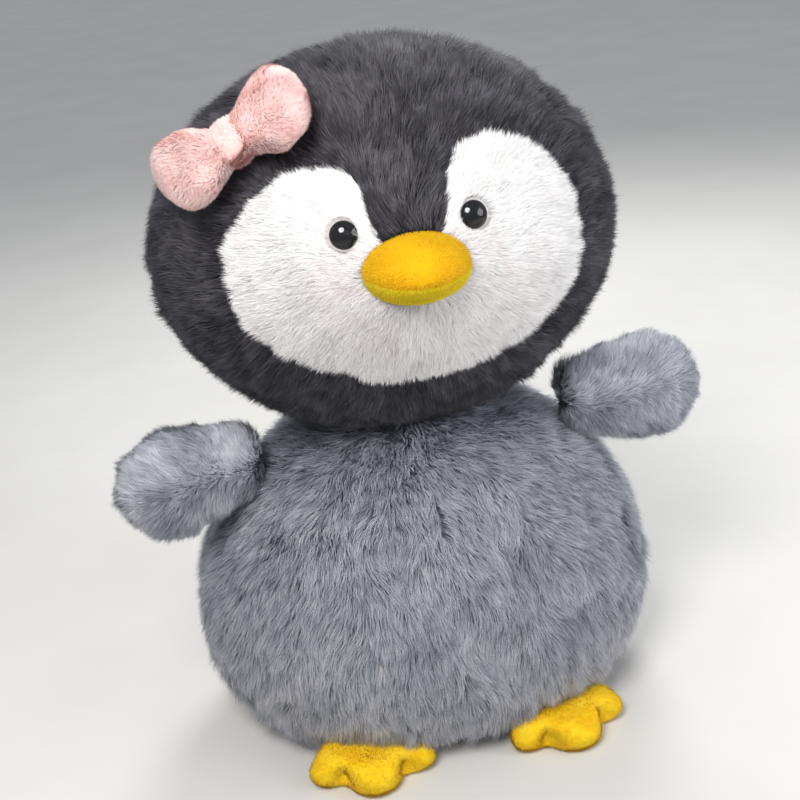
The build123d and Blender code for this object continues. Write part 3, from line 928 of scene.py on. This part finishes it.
def make_eye(side):
    """A clear domed button with a black pupil under it, set low in the pile."""
    low, high = (np.array(c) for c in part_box(f"eye_{side}_pupil"))
    middle = (low + high) / 2
    centre = np.array([0, 0, HEAD_MIDDLE])
    flat = (middle - centre) / np.array([HEAD_HALF, HEAD_HALF * DEPTH_RATIO, CROWN]) ** 2
    axis = unit(flat)
    base = middle - axis * 3.4 * MM
    clear = Nodes("clear plastic", 0.015, Transmission_Weight=1.0, IOR=1.15,
                  Coat_Weight=1.0, Coat_Roughness=0.01, Coat_IOR=1.45)
    clear.colour(clear.ramp(clear.noise(60), [(0.0, (0.97, 0.98, 1.0, 1)), (1.0, (1, 1, 1, 1))]))
    black = Nodes("black plastic", 0.2, Specular_IOR_Level=0.05)
    black.colour(black.ramp(black.noise(90), [(0.3, (0.003, 0.003, 0.004, 1)), (0.7, (0.006, 0.006, 0.007, 1))]))
    # painted reflection: the button's back is a metal finish speckled with bright colour, standing for the sparkle
    # of reflections in the clear rim
    sparkle_silver = Nodes("back of the button with painted sparkle", 0.25, Metallic=0.7)
    sparkle_silver.colour(sparkle_silver.ramp(sparkle_silver.noise(700, 4), [(0.35, srgb(120, 122, 128)), (0.65, srgb(235, 238, 244))]))
    pupil = turned_form(f"eye_{side}_pupil_dome", dome(6.9 * MM, 0.9 * MM, 5.2 * MM),
                        base + axis * 0.35 * MM, axis, black.material)
    lens = turned_form(f"eye_{side}_lens_dome", dome(9.0 * MM, 1.6 * MM, 7.4 * MM), base, axis, clear.material)
    edge = [(8.6 * MM, -0.25 * MM), (8.7 * MM, 0), (8.6 * MM, 0.12 * MM), (4 * MM, 0.14 * MM)]
    ring = turned_form(f"eye_{side}_ring", edge, base, axis, sparkle_silver.material)
    finish_piece(pupil, "head", [f"eye_{side}_pupil"])
    finish_piece(lens, "head", [f"eye_{side}_lens"])
    finish_piece(ring, "head", [f"eye_{side}_post", f"eye_{side}_washer"])


# ---------------------------------------------------------------- bow
def bow_axes():
    """The bow's middle and its own axes: along the loops, outwards from the head, and across the loops."""
    left, right = (np.mean(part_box(f"bow_loop_{side}"), axis=0) for side in ("left", "right"))
    middle = np.mean(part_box("bow_knot"), axis=0)
    along = unit(right - left)
    centre = np.array([0, 0, HEAD_MIDDLE])
    out = (middle - centre) / np.array([HEAD_HALF, HEAD_HALF * DEPTH_RATIO, CROWN]) ** 2
    out = unit(out - (out @ along) * along)
    return middle, along, out, np.cross(out, along)


def make_bow():
    middle, along, out, across = bow_axes()
    around = np.linspace(0, 2 * pi, 96, endpoint=False)
    furs = []
    for seed, (side, sign) in enumerate(SIDES.items()):
        rng = np.random.default_rng(40 + seed)
        creases = rng.uniform(0, 2 * pi, 3)
        rings = []
        steps = np.concatenate([np.linspace(0.05, 0.9, 24), [0.94, 0.97, 0.99]])
        for t in steps:
            end = (1 - smooth(0.62, 1.03, t) ** 2.2) ** 0.5
            wide = (9.6 + 9.8 * smooth(0.0, 0.55, t)) * end
            deep = (6.2 + 4.6 * smooth(0.0, 0.45, t)) * end
            gather = 0.14 * (1 - smooth(0.05, 0.6, t))
            ripple = 1 + gather * (np.cos(5 * around + creases[0]) * 0.6 + np.cos(8 * around + creases[1]) * 0.4)
            seam = 1 + 0.05 * np.exp(-((np.abs(np.cos(around)) - 1) / 0.02) ** 2)
            curl = 4.5 * MM * t * t
            shape = np.outer(np.cos(around) * wide * ripple * seam, across)
            shape = shape + np.outer(np.sin(around) * deep * ripple, out)
            rings.append(middle + along * sign * (4 + 37 * t) * MM + across * curl + shape * MM)
        points = np.array(rings)
        if sign > 0:
            points = points[:, ::-1]
        tip = middle + along * sign * 41.2 * MM + across * 4.5 * MM
        loop = lofted(f"bow_{side}", points, middle + along * sign * 4 * MM, tip, PINK_CLOTH)
        settle(loop, 2.6 * MM, 4.0, 1.2 * MM)
        at, normal = scatter(loop, 32000, rng)
        comb = along * sign + 0.3 * waves(at, 14 * MM, 50)[:, None] * across
        tone = 0.52 + 0.2 * waves(at, 12 * MM, 51 + seed)
        fan = np.broadcast_to(comb, at.shape)
        pile = grow(f"bow_{side}_pile", at, normal, fan, np.full(len(at), 3.6 * MM), tone,
                    PINK_PILE, 60 + seed, lean=0.75, width=0.27 * MM, clump=1.5 * MM, gather=0.4)
        furs.append(pile)
        finish_piece(loop, "head", [f"bow_loop_{side}", f"bow_stuffing_{side}"])
    rings = []
    for t in np.linspace(-1, 1, 17):
        half = 5.6 + 2.0 * (1 - t * t) ** 0.5
        pleat = 1 + 0.05 * np.cos(7 * around + 2 * t)
        shape = np.outer(np.cos(around) * (half + 3.4) * pleat, across)
        shape = shape + np.outer(np.sin(around) * half * pleat, out)
        rings.append(middle + along * t * 6.2 * MM + shape * MM)
    knot = lofted("bow_band", np.array(rings), middle - along * 6.2 * MM, middle + along * 6.2 * MM, PINK_CLOTH)
    rng = np.random.default_rng(45)
    at, normal = scatter(knot, 9000, rng)
    comb = np.cross(normal, along)
    furs.append(grow("bow_band_pile", at, normal, comb, np.full(len(at), 3.2 * MM), np.full(len(at), 0.5),
                     PINK_PILE, 66, lean=0.75, width=0.27 * MM, clump=1.5 * MM, gather=0.4))
    for fur in furs:
        finish_piece(fur, "head")
    finish_piece(knot, "head", ["bow_knot"])


for number, side in enumerate(SIDES):
    make_wing(side, 400 + 50 * number)
    make_foot(side, 500 + 50 * number)
    make_eye(side)
make_bill()
make_bow()


# ---------------------------------------------------------------- floor and light
def area_light(name, place, aim, size, power, colour=(1, 1, 1)):
    data = bpy.data.lights.new(name, "AREA")
    data.shape, data.size, data.energy, data.color = "DISK", size, power, colour
    light = bpy.data.objects.new(name, data)
    light.location = place
    light.rotation_euler = (Vector(aim) - Vector(place)).to_track_quat("-Z", "Y").to_euler()
    bpy.context.collection.objects.link(light)


def make_studio():
    n = Nodes("floor", 0.9)
    n.colour(n.ramp(n.noise(6.0), [(0.3, srgb(196, 194, 190)), (0.7, srgb(202, 200, 196))]))
    size, low = 30.0, cad_low[2]
    corners = [(-size, -size, low), (size, -size, low), (size, size, low), (-size, size, low)]
    mesh_object("floor", corners, [(0, 1, 2, 3)], n.material, False)
    world = bpy.data.worlds.new("studio")
    world.use_nodes = True
    world.node_tree.nodes["Background"].inputs["Color"].default_value = (0.86, 0.90, 0.96, 1)
    world.node_tree.nodes["Background"].inputs["Strength"].default_value = 0.6
    bpy.context.scene.world = world
    middle = (0, 0, 0.22)
    area_light("key", (-0.35, -0.75, 1.05), middle, 0.5, 13, (1.0, 0.98, 0.96))
    area_light("fill", (0.85, -0.65, 0.55), middle, 0.7, 5, (0.95, 0.97, 1.0))
    area_light("rim", (0.35, 0.8, 0.9), middle, 0.5, 9)
    area_light("spark left", (-0.45, -1.1, 0.9), middle, 0.07, 1.0)
    area_light("spark right", (0.30, -1.2, 0.75), middle, 0.05, 0.5)


make_studio()
